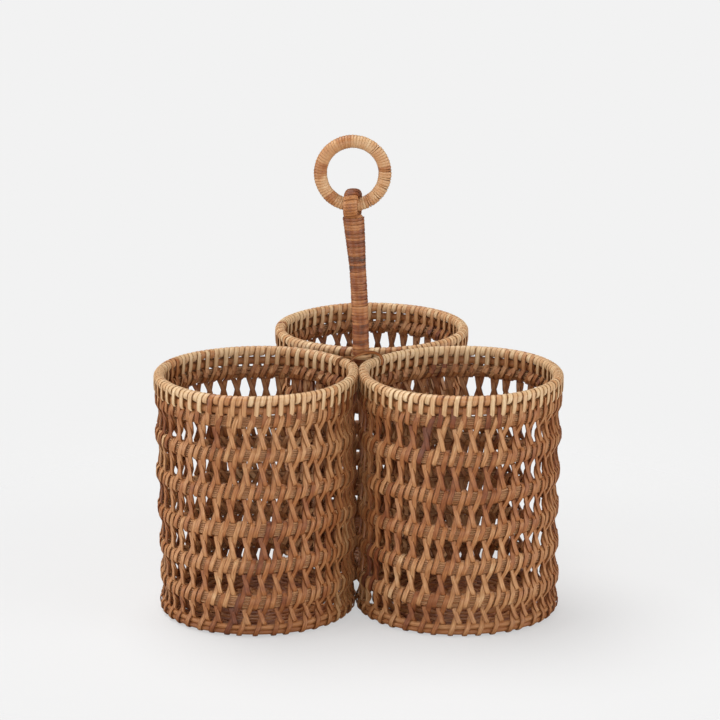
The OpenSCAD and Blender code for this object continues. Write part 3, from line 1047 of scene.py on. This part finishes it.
def tie_round(post, cup, thickness):
    """A strip that goes over one cup's rim and round the post, and tucks in behind."""
    base = post.at(cup.rim_height)
    way = Vector((cup.axis.x - base.x, cup.axis.y - base.y, 0))
    reach = way.length - cup.rim_radius
    way.normalize()
    across = Vector((-way.y, way.x, 0))
    over = cup.core_radius + 1.5 * thickness + 0.25 * MM
    near = post.radius + 1.2 * MM + thickness / 2
    # Each as (out towards the cup, across as a share of near, up from the rim's middle)
    stations = [
        (reach + over, 0.2, -1.5 * MM),
        (reach + 0.75 * over, 0.3, 0.66 * over),
        (reach, 0.5, over),
        (reach * 0.62, 0.85, over - 0.4 * MM),
        (near * 0.55, 0.95, over - 0.9 * MM),
        (0, 1.0, over - 1.2 * MM),
        (-near * 0.75, 0.7, over - 1.6 * MM),
        (-near, 0.0, over - 2 * MM),
        (-near * 0.75, -0.7, over - 2.6 * MM),
        (0, -1.0, over - 3.4 * MM),
        (near * 0.7, -0.75, -2 * MM),
        (near, -0.3, -4 * MM),
    ]
    path = np.array([
        base + way * out + across * share * near + Vector((0, 0, up)) for out, share, up in stations
    ])
    side = np.tile((0.0, 0.0, 1.0), (len(path), 1))
    side[:3] = across
    side[3] = across + Vector((0, 0, 1))
    return path, side


def tie_across(post, cup, thickness):
    """The strip that crosses in front of the post's foot and goes over the right cup's rim."""
    base = post.at(cup.rim_height) + Vector((0, 0, thickness / 2))
    # Each as (to the right, forwards, up) in millimetres, from the post's axis at the rims' middle
    spots = (
        (-7.4, 21.5, 1.2), (-5.1, 18.6, 4.4), (-1.3, 13.6, 5.2), (3.5, 9.6, 5.6), (7.6, 8.2, 5.2),
        (10.8, 8.9, 3.9), (12.6, 10.6, 1.4), (12.2, 11.8, -1.6),
    )
    path = np.array([base + Vector((right, -forwards, up)) * MM for right, forwards, up in spots])
    side = np.tile((0.3, -0.5, 0.8), (len(path), 1))
    side[-3:] = (0.6, -0.6, 0.1)
    return path, side


def smooth_path(path, side, pieces=4):
    """More stations on the same route, along a smooth curve through them."""
    fine = np.linspace(0, len(path) - 1, (len(path) - 1) * pieces + 1)
    i = np.minimum(fine.astype(int), len(path) - 2)
    t = (fine - i)[:, None]
    out = []
    for rows in (path, side):
        ahead = np.vstack([2 * rows[0] - rows[1], rows, 2 * rows[-1] - rows[-2]])
        a, b, c, d = ahead[i], ahead[i + 1], ahead[i + 2], ahead[i + 3]
        bend = (2 * a - 5 * b + 4 * c - d) * t ** 2 + (3 * b - a - 3 * c + d) * t ** 3
        out.append(0.5 * (2 * b + (c - a) * t + bend))
    return out


# ---- stage ----


def paper_material(pale):
    """Matt white paper, rolled out under the carrier: no sheen, and a faint, soft shadow on it."""
    material = bpy.data.materials.new("paper_sweep")
    tree = empty_tree(material)
    # The sheet is lit and shaded round the carrier, and lets the even backdrop through further out
    where = add(tree, "TexCoord")
    reach = add(tree, "VectorMath", {0: where.outputs["Object"]}, operation="LENGTH")
    fade = add(tree, "MapRange", {
        "Value": reach.outputs["Value"], "From Min": PAPER_FADE[0], "From Max": PAPER_FADE[1],
    }, interpolation_type="SMOOTHSTEP")
    # What the camera sees of it is partly its own even tone, so that the shadow stays faint
    seen = add(tree, "LightPath")
    share = add(tree, "Math", {
        0: seen.outputs["Is Camera Ray"], 1: PAPER_EVEN,
    }, operation="MULTIPLY")
    lit = add(tree, "BsdfDiffuse", {"Color": (*linear("#e1e1e1"), 1)})
    even = add(tree, "Emission", {"Color": pale, "Strength": 1.0})
    paper = add(tree, "MixShader", {"Fac": share, 1: lit, 2: even})
    # and the carrier gets less light back from it than from a white sheet
    dim = add(tree, "BsdfDiffuse", {"Color": (*linear("#b0b0b0"), 1)})
    sheet = add(tree, "MixShader", {"Fac": seen.outputs["Is Camera Ray"], 1: dim, 2: paper})
    through = add(tree, "BsdfTransparent")
    mix = add(tree, "MixShader", {"Fac": fade, 1: sheet, 2: through})
    add(tree, "OutputMaterial", {"Surface": mix})
    return material


def light_world(pale):
    """The backdrop that the camera sees, and a dimmer even light on the carrier."""
    world = bpy.data.worlds.new("studio")
    tree = empty_tree(world)
    seen = add(tree, "LightPath")
    behind = add(tree, "Background", {"Color": pale, "Strength": 1.0})
    light = add(tree, "Background", {"Color": (1, 1, 1, 1), "Strength": WORLD_LIGHT})
    mix = add(tree, "MixShader", {"Fac": seen.outputs["Is Camera Ray"], 1: light, 2: behind})
    add(tree, "OutputWorld", {"Surface": mix})
    return world


def hold(scene, name, data, place, turn):
    """An object that holds a lamp or the camera."""
    holder = bpy.data.objects.new(name, data)
    scene.collection.objects.link(holder)
    holder.location = place
    holder.rotation_euler = turn
    return holder


# ---- steps ----


class CARRIER_OT_rims(bpy.types.Operator):
    """Winds the rims: short strips round the core, long ones round the thin hoop too"""

    bl_idname = "carrier.rims"
    bl_label = "Wind the rims"

    def execute(self, context):
        sizes = context.scene.weave_sizes
        for cup in cups():
            rings = (
                (rim_cane(cup), "rim_cane", "rim_core"),
                (under_hoop(cup, sizes), "thin_hoop", "rim_hoop"),
            )
            for ring, name, node in rings:
                write_grain(ring, 0.5, points_of(ring)[:, 0] / MM, 0.5)
                finish(ring, name, "round_rattan_cane", node, cup, angle=60)
            dice = random.Random(f"rim {cup.side}")
            wraps = join([rim_wraps(cup, True, dice, sizes), rim_wraps(cup, False, dice, sizes)])
            finish(wraps, "rim_wraps", "peeled_rattan_rim", "rim_binding", cup)
            collars = collar_wraps(cup, dice, sizes)
            finish(collars, "collar_wraps", "peeled_rattan_lacing", cup=cup)
        return {"FINISHED"}


class CARRIER_OT_hoops(bpy.types.Operator):
    """Lays the splint hoops of every cup, each a bundle of split rattan"""

    bl_idname = "carrier.hoops"
    bl_label = "Lay the hoops"

    def execute(self, context):
        sizes = context.scene.weave_sizes
        for cup in cups():
            dice = random.Random(f"hoops {cup.side}")
            for k in range(1, ROWS + 1):
                hoop = splint_bundle(cup, cup.bands[k - 1], dice, sizes.splints)
                name, node = f"splint_bundle_{k}", f"splint_hoop_{k}"
                finish(hoop, name, "split_rattan_splint", node, cup, angle=75)
            foot = splint_bundle(cup, cup.bands[-1], dice, 2)
            finish(foot, "foot_cane", "round_rattan_cane", "foot_hoop", cup, angle=75)
        return {"FINISHED"}


class CARRIER_OT_lacing(bpy.types.Operator):
    """Laces the rows of crossed strips between the hoops"""

    bl_idname = "carrier.lacing"
    bl_label = "Lace the rows"

    def execute(self, context):
        sizes = context.scene.weave_sizes
        for cup in cups():
            dice = random.Random(f"lacing {cup.side}")
            for k in range(1, ROWS + 1):
                row = lacing_row(cup, k, dice, sizes)
                name, node = f"stitches_{k}", f"lacing_row_{k}"
                finish(row, name, "peeled_rattan_lacing", node, cup)
        return {"FINISHED"}


class CARRIER_OT_floors(bpy.types.Operator):
    """Weaves the floors of the cups"""

    bl_idname = "carrier.floors"
    bl_label = "Weave the floors"

    def execute(self, context):
        sizes = context.scene.weave_sizes
        for cup in cups():
            mat = floor_mat(cup, random.Random(f"floor {cup.side}"), sizes)
            finish(
                mat, "floor_mat", "woven_rattan_floor", "floor", cup, wander=False,
                angle=60,
            )
        return {"FINISHED"}


class CARRIER_OT_post(bpy.types.Operator):
    """Sets the post's cane and winds the post and the bent loop at its top"""

    bl_idname = "carrier.post"
    bl_label = "Wind the post"

    def execute(self, context):
        sizes = context.scene.weave_sizes
        post = Post(sizes)
        cane = post_cane(post, sizes)
        finish(cane, "post_cane", "round_rattan_cane", "post_core", angle=40)
        turns = post_winding(post, random.Random("post"), sizes)
        finish(turns, "post_winding", "fine_rattan_strip", "post_binding")
        wraps = loop_winding(post, random.Random("loop"), sizes)
        finish(wraps, "loop_winding", "fine_rattan_strip", "loop_binding")
        return {"FINISHED"}


class CARRIER_OT_ring(bpy.types.Operator):
    """Winds the carrying ring"""

    bl_idname = "carrier.ring"
    bl_label = "Wind the ring"

    def execute(self, context):
        sizes = context.scene.weave_sizes
        turns = ring_winding(Post(sizes), random.Random("ring"), sizes)
        finish(
            turns, "ring_winding", "ring_rattan_strip", "ring_binding",
            body="carrying_ring",
        )
        return {"FINISHED"}


class CARRIER_OT_ties(bpy.types.Operator):
    """Ties the cups' rims to the post"""

    bl_idname = "carrier.ties"
    bl_label = "Tie the cups"

    def execute(self, context):
        post = Post(context.scene.weave_sizes)
        left, right, back = cups()
        ties = []
        routes = ((tie_across, right, 0.75), (tie_round, left, 0.25), (tie_round, back, 0.3))
        for route, cup, tone in routes:
            path, side = smooth_path(*route(post, cup, TIE_STRIP * MM))
            ties.append(lay_strip(path, side, TIE_WIDTH * MM, TIE_STRIP * MM, tone=tone))
        finish(join(ties), "rim_tie_strips", "peeled_rattan_rim", "rim_ties")
        return {"FINISHED"}


class CARRIER_OT_canes(bpy.types.Operator):
    """Finishes the canes that stay as the frame has them"""

    bl_idname = "carrier.canes"
    bl_label = "Finish the canes"

    def execute(self, context):
        replaced = {node for piece in bpy.data.objects for node in piece.get("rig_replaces", [])}
        for name, node in frame["nodes"].items():
            if name not in replaced:
                # The ring's cane is near black: its dirty core and painted shade between the turns
                look = "dark_core_dirt_and_painted_shade" if name == "ring_core" else "round_rattan_cane"
                finish_with(node, look)
        return {"FINISHED"}


class CARRIER_OT_stage(bpy.types.Operator):
    """Sets the pale floor, the soft light and the camera"""

    bl_idname = "carrier.stage"
    bl_label = "Set the stage"

    def execute(self, context):
        scene = context.scene
        scene.view_settings.view_transform = "Standard"
        pale = (*scene.cane_colours.backdrop, 1)
        select_only()
        bpy.ops.mesh.primitive_circle_add(
            vertices=64, radius=PAPER_RADIUS, fill_type="NGON", location=(0, 0, -0.2 * MM)
        )
        floor = context.object
        floor.name = "floor"
        floor.data.materials.append(paper_material(pale))
        scene.world = light_world(pale)
        for name, place, spread, strength in LAMPS:
            lamp = bpy.data.lights.new(name, "SUN")
            lamp.angle = math.radians(spread)
            lamp.energy = strength
            aim = Vector(LAMPS_AIM) - Vector(place)
            hold(scene, name, lamp, place, aim.to_track_quat("-Z", "Y").to_euler())
        camera = bpy.data.cameras.new("camera")
        camera.lens = LENS
        camera.sensor_width = 36
        down = math.radians(LOOKS_DOWN)
        away = Vector((0, -math.cos(down), math.sin(down))) * STANDS_OFF
        place = Vector(LOOKS_AT) * MM + away
        scene.camera = hold(scene, "camera", camera, place, (math.pi / 2 - down, 0, 0))
        return {"FINISHED"}


class CARRIER_PT_panel(bpy.types.Panel):
    """The steps of the weave, in order"""

    bl_idname = "CARRIER_PT_panel"
    bl_label = "Bottle carrier"
    bl_space_type = "VIEW_3D"
    bl_region_type = "UI"
    bl_category = "Carrier"

    def draw(self, context):
        for step in STEPS:
            self.layout.operator(step.bl_idname)


STEPS = (
    CARRIER_OT_rims, CARRIER_OT_hoops, CARRIER_OT_lacing, CARRIER_OT_floors, CARRIER_OT_post,
    CARRIER_OT_ring, CARRIER_OT_ties, CARRIER_OT_canes, CARRIER_OT_stage,
)
CLASSES = (WeaveSizes, CaneColours, *STEPS, CARRIER_PT_panel)


def register():
    """Makes the sizes, colours, steps and panel known."""
    for cls in CLASSES:
        bpy.utils.register_class(cls)
    bpy.types.Scene.weave_sizes = bpy.props.PointerProperty(type=WeaveSizes)
    bpy.types.Scene.cane_colours = bpy.props.PointerProperty(type=CaneColours)


def unregister():
    """Takes them away again."""
    del bpy.types.Scene.weave_sizes
    del bpy.types.Scene.cane_colours
    for cls in reversed(CLASSES):
        bpy.utils.unregister_class(cls)


def main():
    """Builds the carrier."""
    register()
    bpy.ops.carrier.rims()
    bpy.ops.carrier.hoops()
    bpy.ops.carrier.lacing()
    bpy.ops.carrier.floors()
    bpy.ops.carrier.post()
    bpy.ops.carrier.ring()
    bpy.ops.carrier.ties()
    bpy.ops.carrier.canes()
    bpy.ops.carrier.stage()
    bpy.context.view_layer.update()


if __name__ == "__main__":
    main()
